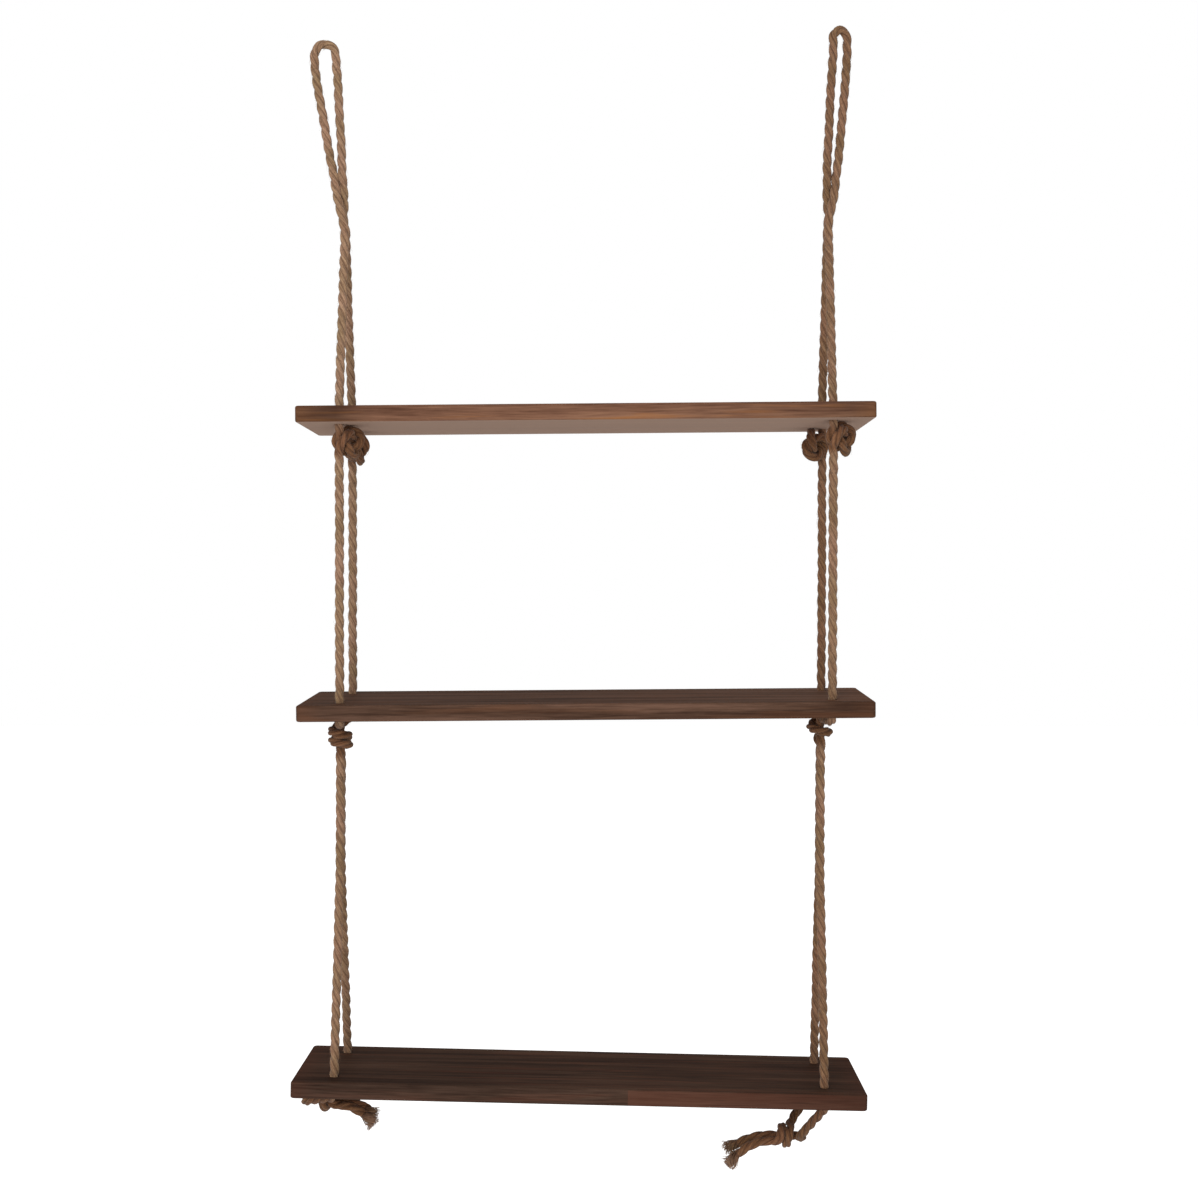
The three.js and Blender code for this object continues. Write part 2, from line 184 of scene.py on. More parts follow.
# %% Loops
CROWN_DROP = 20
NECK_HEIGHT = 186
CROWN_STEPS = 8
ARCH_RISE = 1.5  # how far the arch stands above a half circle
TURN_STEPS = 4
LOOPS = {
    "left": {
        "half_width": 11.5,
        "stations": [(0.1, 0.97), (0.22, 0.86), (0.33, 0.74), (0.45, 0.64), (0.56, 0.5)],
        "turn": (0.64, 0.88),
    },
    "right": {
        "half_width": 7.5,
        "stations": [(0.1, 1), (0.25, 0.97), (0.42, 0.86), (0.6, 0.78)],
        "turn": (0.71, 0.9),
    },
}
crown_centre = {side: Vector((275 * x, 0, 7 * x + RADIUS - CROWN_DROP)) for side, x in SIDES.items()}
swing_axis = (crown_centre["right"] - crown_centre["left"]).normalized()
swing_up = Vector((-swing_axis.z, 0, swing_axis.x))


def crown_points(side):
    """The crown from the left limb over to the right one."""
    half = LOOPS[side]["half_width"]
    points = []
    for step in range(CROWN_STEPS + 1):
        angle = math.pi * (1 - step / CROWN_STEPS)
        up = CROWN_DROP - half + (half + ARCH_RISE) * math.sin(angle)
        points.append(crown_centre[side] + swing_axis * half * math.cos(angle) + swing_up * up)
    return points


def limb_points(side, row, neck):
    """One limb of a loop, from its crown down to the neck."""
    loop = LOOPS[side]
    half = loop["half_width"]
    away = SIDES[side] * -ROWS[row]

    def at(down, spread, angle):
        across = swing_axis * away * spread * math.cos(angle)
        forward = Vector((0, ROWS[row] * spread * math.sin(angle), 0))
        return crown_centre[side].lerp(neck, down) + across + forward

    points = [at(0, half, 0)]
    points += [at(down, max(half * share, STRAND_OFFSET), 0) for down, share in loop["stations"]]
    start, end = loop["turn"]
    for step in range(TURN_STEPS + 1):
        share = step / TURN_STEPS
        points.append(at(start + (end - start) * share, STRAND_OFFSET, share * math.pi / 2))
    for up in (2 * DOME_GAP, DOME_GAP, 0):
        points.append(neck + Vector((0, ROWS[row] * STRAND_OFFSET, up)))
    return points


for side in SIDES:
    print(f"{side} loop: its arch peaks at {max(point.z for point in crown_points(side)):.1f} mm")

# %% [markdown]
# ### The overhand knots under the top board
#
# The rope comes out of its hole, passes through an open turn with three lobes and comes out below in line.
# The formula is that of the CAD source, in shares of the rope's thickness in the knot. Each knot hangs to
# one side of its rope, turned some degrees in towards the middle of the board.

# %% Overhand knots
KNOT = {"turn": 1.48, "lobe": 0.61, "depth": 0.66, "load": 1.25, "through": 0.69, "reach": 2.42}
KNOT_START = 0.086
KNOT_POINTS = 13
KNOT_SIDE = {("left", "front"): 1, ("left", "back"): 1, ("right", "front"): 1, ("right", "back"): -1}
KNOT_TURN = {("left", "front"): 50, ("left", "back"): 60, ("right", "front"): 45, ("right", "back"): 50}
KNOT_CENTRE = BOARD_THICKNESS + SIDE_GAP + KNOT["reach"] * KNOTTED
KNOT_FOOT = KNOT_CENTRE + KNOT["reach"] * KNOTTED + DOME_GAP


def knot_points(side, row):
    """The way of the rope through a knot, on the level board."""
    away = KNOT_SIDE[side, row]
    turned = math.radians(KNOT_TURN[side, row])
    across_way = Vector((away * math.cos(turned), -ROWS[row] * math.sin(turned), 0))
    along_way = Vector((math.sin(turned), ROWS[row] * away * math.cos(turned), 0))
    hole_line = Vector((SIDES[side] * HOLE_X, ROWS[row] * HOLE_Y, 0))

    def at(across, along, up):
        offset = across_way * across + along_way * along + Vector((0, 0, up))
        return hole_line - Vector((0, 0, KNOT_CENTRE)) + offset * KNOTTED

    points = [hole_line, hole_line - Vector((0, 0, DOME_GAP))]
    points += [at(0, 0, 1 + KNOT["load"]), at(0, 0, KNOT["load"]), at(0, -KNOT["through"], 0)]
    for i in range(KNOT_POINTS):
        angle = (KNOT_START + (1 - 2 * KNOT_START) * i / (KNOT_POINTS - 1)) * math.tau
        spread = KNOT["turn"] + KNOT["lobe"] * math.cos(3 * angle)
        across = KNOT["turn"] + KNOT["lobe"] - spread * math.cos(2 * angle)
        points.append(at(across, -KNOT["depth"] * math.sin(3 * angle), -spread * math.sin(2 * angle)))
    points += [at(0, KNOT["through"], 0), at(0, 0, -KNOT["load"])]
    points += [hole_line - Vector((0, 0, down)) for down in (KNOT_FOOT - DOME_GAP, KNOT_FOOT)]
    return points


print(f"a knot reaches {KNOT_FOOT - BOARD_THICKNESS:.1f} mm below its board")

# %% [markdown]
# ### The ties under the middle and bottom boards
#
# Under the middle board the two halves of a rope come together and one is wound round the other, then they
# run down as a pair. Under the bottom board they are tied to one side and end in bare tails. Bends are given
# in shares of the rope's thickness, as in the CAD source.

# %% Ties
WIND_PITCH = 9.2
WIND_STEPS = 8
MIDDLE_TURNS = {"left": 1.75, "right": 0.75}
MIDDLE_SHIFT = -7
BOTTOM_TURNS = 1.25
SPLIT_HEIGHT = 220
WIND_TOP = UNDER_BOARD + 2 * SIDE_BY_SIDE - RADIUS
BOTTOM_TIES = {
    "left": {"tail_side": 1, "turn": 36, "wind": 20, "depth": 16, "tail": 38, "sag": 20, "splay": 5},
    "right": {"tail_side": -1, "turn": -18, "wind": -30, "depth": 44, "tail": 48, "sag": 26, "splay": 6},
}


def tie_bend(side):
    """How far below the middle board's top the joined rope bends when the bottom board swings."""
    return WIND_TOP + MIDDLE_TURNS[side] * WIND_PITCH + 1.75 * ROPE + RADIUS


def wound(start, outward, onward, along, turns):
    """A rope wound round another that runs along through the start."""
    count = math.ceil(turns * WIND_STEPS)
    points = []
    for i in range(count + 1):
        angle = i / count * turns * math.tau
        turned = (Vector(outward) * math.cos(angle) + Vector(onward) * math.sin(angle)) * SIDE_BY_SIDE
        points.append(start + turned + Vector(along) * WIND_PITCH * angle / math.tau)
    return points


def from_hole(side, row, lean):
    """The way down through a hole and out below it, leaning sideways."""
    x, y = SIDES[side] * HOLE_X, ROWS[row] * HOLE_Y
    return [
        Vector((x, y, 0)),
        Vector((x, y, -DOME_GAP)),
        Vector((x, y, -BOARD_THICKNESS)),
        Vector((x + lean, y - ROWS[row] * RADIUS * 0.75, -UNDER_BOARD)),
    ]


for side in SIDES:
    print(f"{side} ropes bend {tie_bend(side):.1f} mm below the middle board's top")

# %% Under the middle board
def middle_tie_points(side, row):
    turns = MIDDLE_TURNS[side]
    line = SIDES[side] * HOLE_X
    x = line + MIDDLE_SHIFT
    wind_end = WIND_TOP + turns * WIND_PITCH
    points = from_hole(side, row, MIDDLE_SHIFT / 8)
    if row == "front":
        points += [
            (line + MIDDLE_SHIFT / 2, -HOLE_Y / 2, -UNDER_BOARD - RADIUS / 2),
            (x, -ROPE, -UNDER_BOARD - RADIUS / 2),
            (x, -RADIUS / 2, -UNDER_BOARD - ROPE),
            (x, 0, -WIND_TOP),
            (x, 0, -wind_end + ROPE),
            (x, 0, -wind_end + RADIUS / 2),
            (x, -STRAND_OFFSET, -wind_end - 0.9 * ROPE),
        ]
    else:
        points.append((line + MIDDLE_SHIFT / 2, HOLE_Y / 2, -UNDER_BOARD - RADIUS))
        points.append((x - SIDE_BY_SIDE, 1.2 * ROPE, -WIND_TOP + WIND_PITCH / 6))
        points += wound(Vector((x, 0, -WIND_TOP)), (-1, 0, 0), (0, -1, 0), (0, 0, -1), turns)
        points.append((x - RADIUS / 2, STRAND_OFFSET * 1.6, -wind_end - 0.6 * ROPE))
        points.append((x, STRAND_OFFSET, -wind_end - 1.3 * ROPE))
    points.append((x, ROWS[row] * STRAND_OFFSET, -tie_bend(side) + RADIUS))
    return points


# %% Under the bottom board
def bottom_tie_points(side, row):
    tie = BOTTOM_TIES[side]
    out = tie["tail_side"]
    line = -UNDER_BOARD - tie["depth"]
    turn_x = SIDES[side] * HOLE_X - out * tie["turn"]
    wind_x = SIDES[side] * HOLE_X - out * tie["wind"]
    end_x = wind_x + out * (BOTTOM_TURNS + 1) * WIND_PITCH
    points = from_hole(side, row, -out)
    if row == "front":
        turn_start = Vector((turn_x + out * RADIUS / 2, -1.8 * ROPE, line + tie["depth"] * 0.1))
        points += [points[-1].lerp(turn_start, 0.5), turn_start]
        points += [
            (turn_x, -1.2 * RADIUS, line),
            (turn_x + out * ROPE, 0, line),
            (wind_x + out * RADIUS, 0, line),
            (end_x - out * ROPE, 0, line),
            (end_x, 0, line),
        ]
    else:
        start = Vector((wind_x - 2 * out * SIDE_GAP, 1.2 * ROPE, line + SIDE_BY_SIDE + tie["depth"] * 0.05))
        points += [points[-1].lerp(start, 0.5), start]
        points += wound(Vector((wind_x, 0, line)), (0, 0, 1), (0, -1, 0), (out, 0, 0), BOTTOM_TURNS)
        points.append((end_x - out * RADIUS, -SIDE_BY_SIDE, line - RADIUS))
        points.append((end_x, -SIDE_BY_SIDE, line - RADIUS))
    return points


# %% Bare tails
STRAIGHT_SHARE = 0.15
TAIL_SHARES = (STRAIGHT_SHARE, 0.4, 0.7, 1)
FRONT_SAG_SHARE = {"left": 0.92, "right": 0.75}


def tail_points(side, row, tie_way):
    """A bare tail that leaves its tie straight and then sags."""
    tie = BOTTOM_TIES[side]
    along = (tie_way[-1] - tie_way[-2]).normalized()
    drop = tie["sag"] * (FRONT_SAG_SHARE[side] if row == "front" else 1)
    points = [tie_way[-1]]
    for share in TAIL_SHARES:
        straight = along * (2 * SEAT_GAP + tie["tail"] * min(share, STRAIGHT_SHARE))
        onward = tie["tail_side"] * tie["tail"] * max(share - STRAIGHT_SHARE, 0)
        droop = Vector((onward, -ROWS[row] * tie["splay"] * share**3, -drop * share**2))
        points.append(tie_way[-1] + straight + droop)
    return points


# %% [markdown]
# ### One rope from end to end
#
# Each half of a rope is strung together from the top of its loop down to its bare end, with a note of how
# far along it each piece of the CAD model ends. The two halves then make one rope, which is laid in one go
# so that its strands run on unbroken, and is only then cut where the shelf's joints need it.

# %% Half a rope
def length_of(way):
    return sum((b - a).length for a, b in zip(way, way[1:]))


def half_rope(side, row):
    """The way of half a rope from the top of its loop, and the distance at which each stretch ends."""
    neck = between_holes("top", side, NECK_HEIGHT)
    split = between_holes("bottom", side, SPLIT_HEIGHT)
    beside = Vector((0, ROWS[row] * STRAND_OFFSET, 0))
    top, middle, bottom = (hanging(board) for board in ("top", "middle", "bottom"))
    bend = middle @ Vector((SIDES[side] * HOLE_X + MIDDLE_SHIFT, 0, -tie_bend(side)))
    crown = crown_points(side)
    if SIDES[side] * -ROWS[row] < 0:
        crown.reverse()
    middle_tie = [middle @ point for point in smooth_way(middle_tie_points(side, row))]
    tie = smooth_way(bottom_tie_points(side, row))
    stretches = [
        ("crown", smooth_way(crown)[CROWN_STEPS // 2 * SPAN_STEPS:]),
        ("loop_limb", smooth_way(limb_points(side, row, neck))),
        ("upper_leg", [neck + beside, hole("top", side, row)]),
        ("overhand_knot", [top @ point for point in smooth_way(knot_points(side, row))]),
        ("middle_leg", [hole("middle", side, row)]),
        ("middle_tie", [*middle_tie, bend + beside]),
        ("joined_run", [split + beside]),
        ("lower_leg", [hole("bottom", side, row)]),
        ("bottom_tie", [bottom @ point for point in tie]),
        ("tail", [bottom @ point for point in smooth_way(tail_points(side, row, tie))]),
    ]
    way, ends = [], {}
    for name, points in stretches:
        way += points
        ends[name] = length_of(way)
    return way, ends


for side in SIDES:
    print(f"{side} front half: {half_rope(side, 'front')[1]['tail']:.0f} mm long")

# %% [markdown]
# A taut rope turns gently where one straight stretch meets the next, and it never hangs quite straight: its
# lay makes it waver by a fraction of a millimetre. Both are added to the points of the whole rope, which lie
# a fixed step apart.

# %% The whole rope
STEP = 1.9
SAME_POINT = 1e-6
EASE_REACH = 9
EASE_END = 1.6  # the rounding fades from 0.6 of the reach and ends at 1.6
EASE_PASSES = 6
WAVER = 0.4
WAVER_LENGTH = 45
WAVER_SEED = 7
noise.seed_set(WAVER_SEED)  # without it, the clock would change the waver at each run
TURNING = ("loop_limb", "upper_leg", "middle_leg", "joined_run", "lower_leg")


def resample(way):
    """Points about STEP apart along a way, and exactly how far apart."""
    points = np.array([tuple(point) for point in way])
    gaps = np.linalg.norm(np.diff(points, axis=0), axis=1)
    points = points[np.concatenate(([True], gaps > SAME_POINT))]
    travelled = np.concatenate(([0], np.cumsum(np.linalg.norm(np.diff(points, axis=0), axis=1))))
    spots = np.linspace(0, travelled[-1], round(travelled[-1] / STEP) + 1)
    return np.stack([np.interp(spots, travelled, points[:, axis]) for axis in range(3)], 1), spots[1]


def ease(points, step, places):
    """Rounds the way off at the places where one straight stretch meets the next."""
    spots = np.arange(len(points)) * step
    near = np.zeros(len(points))
    for place in places:
        near = np.maximum(near, np.clip(EASE_END - np.abs(spots - place) / EASE_REACH, 0, 1))
    for _ in range(EASE_PASSES):
        rounded = (points[:-2] + 2 * points[1:-1] + points[2:]) / 4
        points[1:-1] += (rounded - points[1:-1]) * near[1:-1, None]
    return points


def whole_rope(side):
    """The rope's points from its back tail to its front one, their step, and where each stretch ends."""
    halves = {row: half_rope(side, row) for row in ROWS}
    crown_spot = halves["back"][1]["tail"]
    points, step = resample(halves["back"][0][::-1] + halves["front"][0])
    spots = {}
    for row, (_, ends) in halves.items():
        for name, end in ends.items():
            spots[row, name] = crown_spot - ROWS[row] * end
    points = ease(points, step, [spot for (_, name), spot in spots.items() if name in TURNING])
    for i, point in enumerate(points):
        point += np.array(noise.noise_vector((i * step / WAVER_LENGTH, SIDES[side], 0))) * WAVER
    return points, step, spots


ropes = {side: whole_rope(side) for side in SIDES}
for side, (points, step, spots) in ropes.items():
    print(f"{side} rope: {len(points)} points, {len(points) * step:.0f} mm long")

# %% [markdown]
# ## Three-strand rope
#
# Jute rope is laid from three strands twisted round each other. It could be a plain tube with the strands
# painted on, but then its outline would be smooth. So the rope's section is drawn as three strands pressed
# together, and Spin with a lift per step sweeps it into a straight length of laid rope, as on a rope walk.
# That straight length is then bent along its way. Each point keeps its place on the straight rope as an
# attribute, which the jute finish later draws its fibres by.

# %% The section of a laid rope
STRANDS = 3
LAY_LENGTH = 42
SECTION_POINTS = 24
STRAND_RADIUS = 2.8
STRAND_CENTRE = 2.15


def section_radius(angle):
    """How far the outline of the strands lies from the rope's middle, in one direction."""
    from_strand = (angle + math.pi / STRANDS) % (math.tau / STRANDS) - math.pi / STRANDS
    inner = STRAND_CENTRE * math.cos(from_strand)
    return inner + math.sqrt(STRAND_RADIUS**2 - (STRAND_CENTRE * math.sin(from_strand)) ** 2)


print(f"a strand stands {section_radius(0):.2f} mm out, a groove {section_radius(math.pi / STRANDS):.2f} mm")

# %% [markdown]
# Jute is hairy: short fibres stick out all along the rope. They are one curve object with a spline for
# each, given a thickness by its bevel and turned into a mesh. A real fibre is a tenth of a millimetre thick,
# and here they are somewhat thicker, so that they still show.

# %% Fibres
FIBRE_RADIUS = 0.09


def fibres_mesh(lines):
    """A mesh of thin tapered fibres, from lists of (x, y, z, radius)."""
    curve = bpy.data.curves.new("fibres", "CURVE")
    curve.dimensions = "3D"
    curve.bevel_depth = 1
    curve.bevel_resolution = 0
    curve.use_fill_caps = True
    for line in lines:
        spline = curve.splines.new("POLY")
        spline.points.add(len(line) - 1)
        for point, (x, y, z, radius) in zip(spline.points, line):
            point.co = (x, y, z, 1)
            point.radius = radius
    holder = bpy.data.objects.new("fibres", curve)
    mesh = bpy.data.meshes.new_from_object(holder)
    bpy.data.objects.remove(holder)
    bpy.data.curves.remove(curve)
    return mesh


# %% Stray fibres
STRAY_SPACING = 2.2
STRAY_LENGTH = (4, 11)
STRAY_RISE = (0.3, 1.6)
STRAY_ROOT = 0.6  # how deep in the strand a fibre starts
STRAY_CURL = 0.7
STRAY_THINNING = 0.6
STRAY_POINTS = 5


def stray_fibres(low, high, draw):
    """Short fibres that leave the straight rope's surface between two heights."""
    lines = []
    for _ in range(round((high - low) / STRAY_SPACING)):
        length = draw.uniform(*STRAY_LENGTH) * draw.choice((-1, 1))
        rise = draw.uniform(*STRAY_RISE)
        start = draw.uniform(max(low, low - length), min(high, high - length))
        angle, curl = draw.uniform(0, math.tau), draw.uniform(-STRAY_CURL, STRAY_CURL)
        line = []
        for i in range(STRAY_POINTS):
            share = i / (STRAY_POINTS - 1)
            out = STRAND_CENTRE + STRAND_RADIUS - STRAY_ROOT
            out += (rise + STRAY_ROOT) * math.sin(share * math.pi / 2) ** 1.5
            turned = angle + curl * share**2
            thin = FIBRE_RADIUS * (1 - STRAY_THINNING * share)
            line.append((out * math.cos(turned), out * math.sin(turned), start + length * share, thin))
        lines.append(line)
    return fibres_mesh(lines)


# %% Lay a straight rope
def straight_rope(first, last, step):
    """Laid rope standing straight up, with its ends at the given steps of the whole rope."""
    rope = bmesh.new()
    section = bmesh.ops.create_circle(rope, segments=SECTION_POINTS, radius=1)["verts"]
    for vertex in section:
        vertex.co *= section_radius(math.atan2(vertex.co.y, vertex.co.x))
    twist = Matrix.Rotation(-first * step / LAY_LENGTH * math.tau, 3, "Z")
    bmesh.ops.rotate(rope, verts=section, cent=(0, 0, 0), matrix=twist)
    bmesh.ops.translate(rope, verts=section, vec=(0, 0, first * step))
    bmesh.ops.spin(
        rope,
        geom=rope.verts[:] + rope.edges[:],
        cent=(0, 0, 0),
        axis=(0, 0, 1),
        dvec=(0, 0, step),
        angle=-(last - first) * step / LAY_LENGTH * math.tau,
        steps=last - first,
    )
    bmesh.ops.holes_fill(rope, edges=[edge for edge in rope.edges if edge.is_boundary], sides=0)
    return rope


# %% Bend it along its way
SWELL = 0.035
SWELL_LENGTH = 11
YARN_RELIEF = 0.12
YARN_FINENESS = 0.9
YARN_BUMP_LENGTH = 4


def bend_along(rope, points, frames, step, ties):
    """Moves a straight rope onto its way, and keeps its old places as attributes."""
    straight = rope.verts.layers.float_vector.new("straight")
    strand = rope.verts.layers.float_vector.new("strand")
    shade_share = rope.verts.layers.float.new("shade_share")
    for vertex in rope.verts:
        x, y, height = vertex.co
        lay = Matrix.Rotation(height / LAY_LENGTH * math.tau, 2)
        laid = lay @ Vector((x, y))
        vertex[straight] = Vector((x, y, height)) * MM
        vertex[strand] = Vector((laid.x, laid.y, height)) * MM
        swell = 1 + SWELL * noise.noise((laid.x, laid.y, height / SWELL_LENGTH))
        yarn_place = (laid.x * YARN_FINENESS, laid.y * YARN_FINENESS, height / YARN_BUMP_LENGTH)
        swell += YARN_RELIEF * noise.noise(yarn_place) / ROPE
        at = min(max(height / step, 0), len(points) - 1.001)  # never quite on the last point
        i, part = int(at), at - int(at)
        centre, across, beside, tie = (a[i] * (1 - part) + a[i + 1] * part for a in (points, *frames, ties))
        # the share of painted shade at this point of the rope
        vertex[shade_share] = tie[1]
        off = (across * x + beside * y) * tie[0] * swell
        vertex.co = Vector(centre + off * min(1, tie[2] / np.linalg.norm(off))) * MM


def carried_frames(points):
    """Two directions across the way at each point, carried along it without any twist of their own."""
    tangents = np.gradient(points, axis=0)
    tangents /= np.linalg.norm(tangents, axis=1)[:, None]
    across = np.cross(tangents[0], (0, 1, 0))
    frames = []
    for tangent in tangents:
        across = across - tangent * np.dot(across, tangent)
        across /= np.linalg.norm(across)
        frames.append((across, np.cross(tangent, across)))
    return np.array(frames).transpose(1, 0, 2)


# %% A finished piece of rope
MERGE = 0.001
rope_pieces = []


def in_order(build):
    """Sorts a bmesh by place, because spin and bevel lay its elements in another order in every run."""
    for rank, vertex in enumerate(sorted(build.verts, key=lambda vertex: vertex.co[:])):
        vertex.index = rank
    build.verts.sort()
    for parts in (build.edges, build.faces):
        for rank, part in enumerate(sorted(parts, key=lambda part: sorted(v.index for v in part.verts))):
            part.index = rank
        parts.sort()


def finish_mesh(rope, name):
    """Turns a bmesh into an object; everything round is shaded smooth, and the cut ends flat."""
    bmesh.ops.remove_doubles(rope, verts=rope.verts, dist=MERGE * MM)
    bmesh.ops.recalc_face_normals(rope, faces=rope.faces)
    for face in rope.faces:
        face.smooth = len(face.verts) <= 4
    in_order(rope)
    mesh = bpy.data.meshes.new(name)
    rope.to_mesh(mesh)
    rope.free()
    piece = bpy.data.objects.new(name, mesh)
    bpy.context.collection.objects.link(piece)
    rope_pieces.append(piece)
    return piece


def add_fibres(rope, fibres):
    rope.from_mesh(fibres)
    bpy.data.meshes.remove(fibres)


def laid_piece(name, first, last, step, draw, points, frames, ties):
    """A piece of the whole rope between two of its steps, with its stray fibres."""
    rope = straight_rope(first, last, step)
    add_fibres(rope, stray_fibres(first * step, last * step, draw))
    bend_along(rope, points, frames, step, ties)
    return finish_mesh(rope, name)


# %% [markdown]
# ## Cut the rope at the shelf's joints
#
# The CAD model turns each stretch about the end of the one above. A cut just past the bend lets one piece
# of rope carry the bend. Where a rope enters a board, the cut lies inside the hole.

# %% What each stretch hangs from
PAST_BEND = 15
HOLE_CUT = 2.5
STRETCHES = {
    # stretch: (body above, body below the bend at its end or None, how far it is cut past that bend)
    "loop_limb": ("loop_limbs", "{side}_upper_legs", PAST_BEND),
    "upper_leg": ("{side}_upper_legs", None, HOLE_CUT),
    "overhand_knot": ("top_shelf", "{side}_middle_legs", PAST_BEND),
    "middle_leg": ("{side}_middle_legs", None, HOLE_CUT),
    "middle_tie": ("middle_shelf", "joined_runs", PAST_BEND),
    "joined_run": ("joined_runs", "{side}_lower_legs", PAST_BEND),
    "lower_leg": ("{side}_lower_legs", None, HOLE_CUT),
    "tail": ("bottom_shelf", None, 0),
}

# %% [markdown]
# Along its way a rope changes. Inside a hole the wood presses it, so that a leaning leg stays clear of the
# rim, and a tie flattens it a little, which makes it look thicker. Painted shade darkens it, wholly in the
# knots and ties under the boards and elsewhere by a share that runs evenly from board to board, most on the
# right back half, which the front half shades. Towards the loose tips of the tails the painted shade thins
# out. All this is worked out for each point of the whole rope before it is bent.

# %% How a rope is pressed and painted with shade
FRAY_LENGTH = 17
TIED_THICKNESS = {"overhand_knot": 1.0, "middle_tie": 1.03, "bottom_tie": 1.02}
LEG_BEFORE = {"overhand_knot": "upper_leg", "middle_tie": "middle_leg", "bottom_tie": "lower_leg"}
TIED_EASE = 10
FREE = 15.0  # further out than any point of the rope
RIM, WALL = 5, 4.1
HOLE_PRESS = (
    # depths below a board's top, and how far from its own middle the rope may stand there
    (-3, -2, 1.5, BOARD_THICKNESS - 1.5, BOARD_THICKNESS + 2, BOARD_THICKNESS + 3),
    (FREE, RIM, WALL, WALL, RIM, FREE),
)
TIP_KEEPS = 0.35
PAINTED_SHADE_AT = ("crown", "upper_leg", "middle_leg", "lower_leg")
PAINTED_SHADE = {
    # how much painted shade darkens each half of a rope at its loop and in the top, middle and bottom board
    "left": {"front": (0.3, 0.1, 0.25, 0.4), "back": (0.2, 0.05, 0.2, 0.4)},
    "right": {"front": (0.7, 0.45, 0.35, 0.75), "back": (0.7, 0.65, 0.85, 0.75)},
}


def tied_along(side, count, step, spots):
    """At each point: the rope's thickness, its share of painted shade, and how far from its middle it may
    stand.
    """
    at = np.arange(count) * step
    painted_shading = {}
    for row in ROWS:
        for name, share in zip(PAINTED_SHADE_AT, PAINTED_SHADE[side][row]):
            painted_shading[spots[row, name]] = share
    places = sorted(painted_shading)
    # painted shade along the rope, between the listed places
    shade_share = np.interp(at, places, [painted_shading[place] for place in places])
    thickness, reach = np.ones(count), np.full(count, FREE)
    for row in ROWS:
        for name, share in TIED_THICKNESS.items():
            depth = (at - spots[row, LEG_BEFORE[name]]) * -ROWS[row]
            since = np.clip((depth - BOARD_THICKNESS) / TIED_EASE, 0, 1)
            until = np.clip((spots[row, name] - at) * -ROWS[row] / TIED_EASE, 0, 1)
            thickness += (share - 1) * since * until
            if name == "bottom_tie":
                tip = np.clip((spots[row, "tail"] - at) * -ROWS[row] / FRAY_LENGTH, TIP_KEEPS, 1)
                shade_share = np.maximum(shade_share, since) * tip
            else:
                shade_share = np.maximum(shade_share, since * until)
            reach = np.minimum(reach, np.interp(depth, *HOLE_PRESS))
    return np.stack((thickness, shade_share, reach), 1)


print(f"a rope is pressed to {2 * WALL:.1f} mm inside a hole")


# %% Ride a piece
def hang_on(piece, above, below):
    """Rides a rope piece on its body, or bakes its place into its mesh where it reaches the body below."""
    if below is None:
        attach(piece, above)
        return
    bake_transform(piece)


# %% [markdown]
# ### Frayed ends
#
# Each bare end has come unlaid over its last stretch and opens into a brush of loose yarns. They are drawn
# as fibres too, from the section of each strand outwards, on the straight rope, and bent along the way
# with it.

# %% Frayed ends
YARNS = 60
YARN_POINTS = 7
YARN_RADIUS = (0.2, 0.5)
YARN_REACH = (0.72, 1)
YARN_THINNING = 0.5
STRAND_SKIN = 0.3  # how far inside the strand's outline the outermost yarns start
FRAY_SPREAD = {"left": 1.9, "right": 2.3}


def frayed_end(side, first, last, step, inwards, draw):
    """Loose yarns from the height where the rope stops to its bare end; inwards is 1 or -1 along it."""
    lines = []
    for strand in range(STRANDS):
        for _ in range(YARNS):
            angle, reach = draw.uniform(0, math.tau), math.sqrt(draw.random()) * (STRAND_RADIUS - STRAND_SKIN)
            local = Vector((STRAND_CENTRE + reach * math.cos(angle), reach * math.sin(angle)))
            lean = Vector((draw.gauss(0, 1), draw.gauss(0, 1)))
            length = (last - first) * step * draw.uniform(*YARN_REACH)
            radius = draw.uniform(*YARN_RADIUS)
            line = []
            for i in range(YARN_POINTS):
                share = i / (YARN_POINTS - 1)
                height = first * step + length * share if inwards < 0 else last * step - length * share
                turn = strand * math.tau / STRANDS - height / LAY_LENGTH * math.tau
                open_out = 1 + (FRAY_SPREAD[side] - 1) * share**1.5
                at = Matrix.Rotation(turn, 2) @ (local * open_out + lean * share**2)
                line.append((at.x, at.y, height, radius * (1 - YARN_THINNING * share)))
            lines.append(line)
    return fibres_mesh(lines)


print(f"{STRANDS * YARNS} loose yarns in each bare end")

# %% Make the pieces
for side, (points, step, spots) in ropes.items():
    frames = carried_frames(points)
    ties = tied_along(side, len(points), step, spots)
    for row in ROWS:
        onward = -ROWS[row]
        begin = spots[row, "crown"] + onward * PAST_BEND
        for name, (above, below, past) in STRETCHES.items():
            is_tail = name == "tail"
            draw = random.Random(f"{side} {row} {name}")
            end = spots[row, name] + onward * (-FRAY_LENGTH if is_tail else past)
            first, last = sorted(int(round(spot / step)) for spot in (begin, end))
            label = f"{side}_{'bottom_tie' if is_tail else name}_{row}_rope"
            piece = laid_piece(label, first, last, step, draw, points, frames, ties)
            above, below = above.format(side=side), below and below.format(side=side)
            hang_on(piece, above, below)
            nodes = ("bottom_tie", "tail") if is_tail else (name,)
            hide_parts(*(f"{side}_{node_name}_{row}" for node_name in nodes))
            if is_tail:
                tip = len(points) - 1 if onward > 0 else 0
                low, high = sorted((last if onward > 0 else first, tip))
                brush = bmesh.new()
                add_fibres(brush, frayed_end(side, low, high, step, -onward, draw))
                bend_along(brush, points, frames, step, ties)
                frayed = finish_mesh(brush, f"{side}_tail_{row}_frayed_end")
                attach(frayed, above)
            begin = end
        print(f"{side} {row}: {len(rope_pieces)} pieces of rope so far")

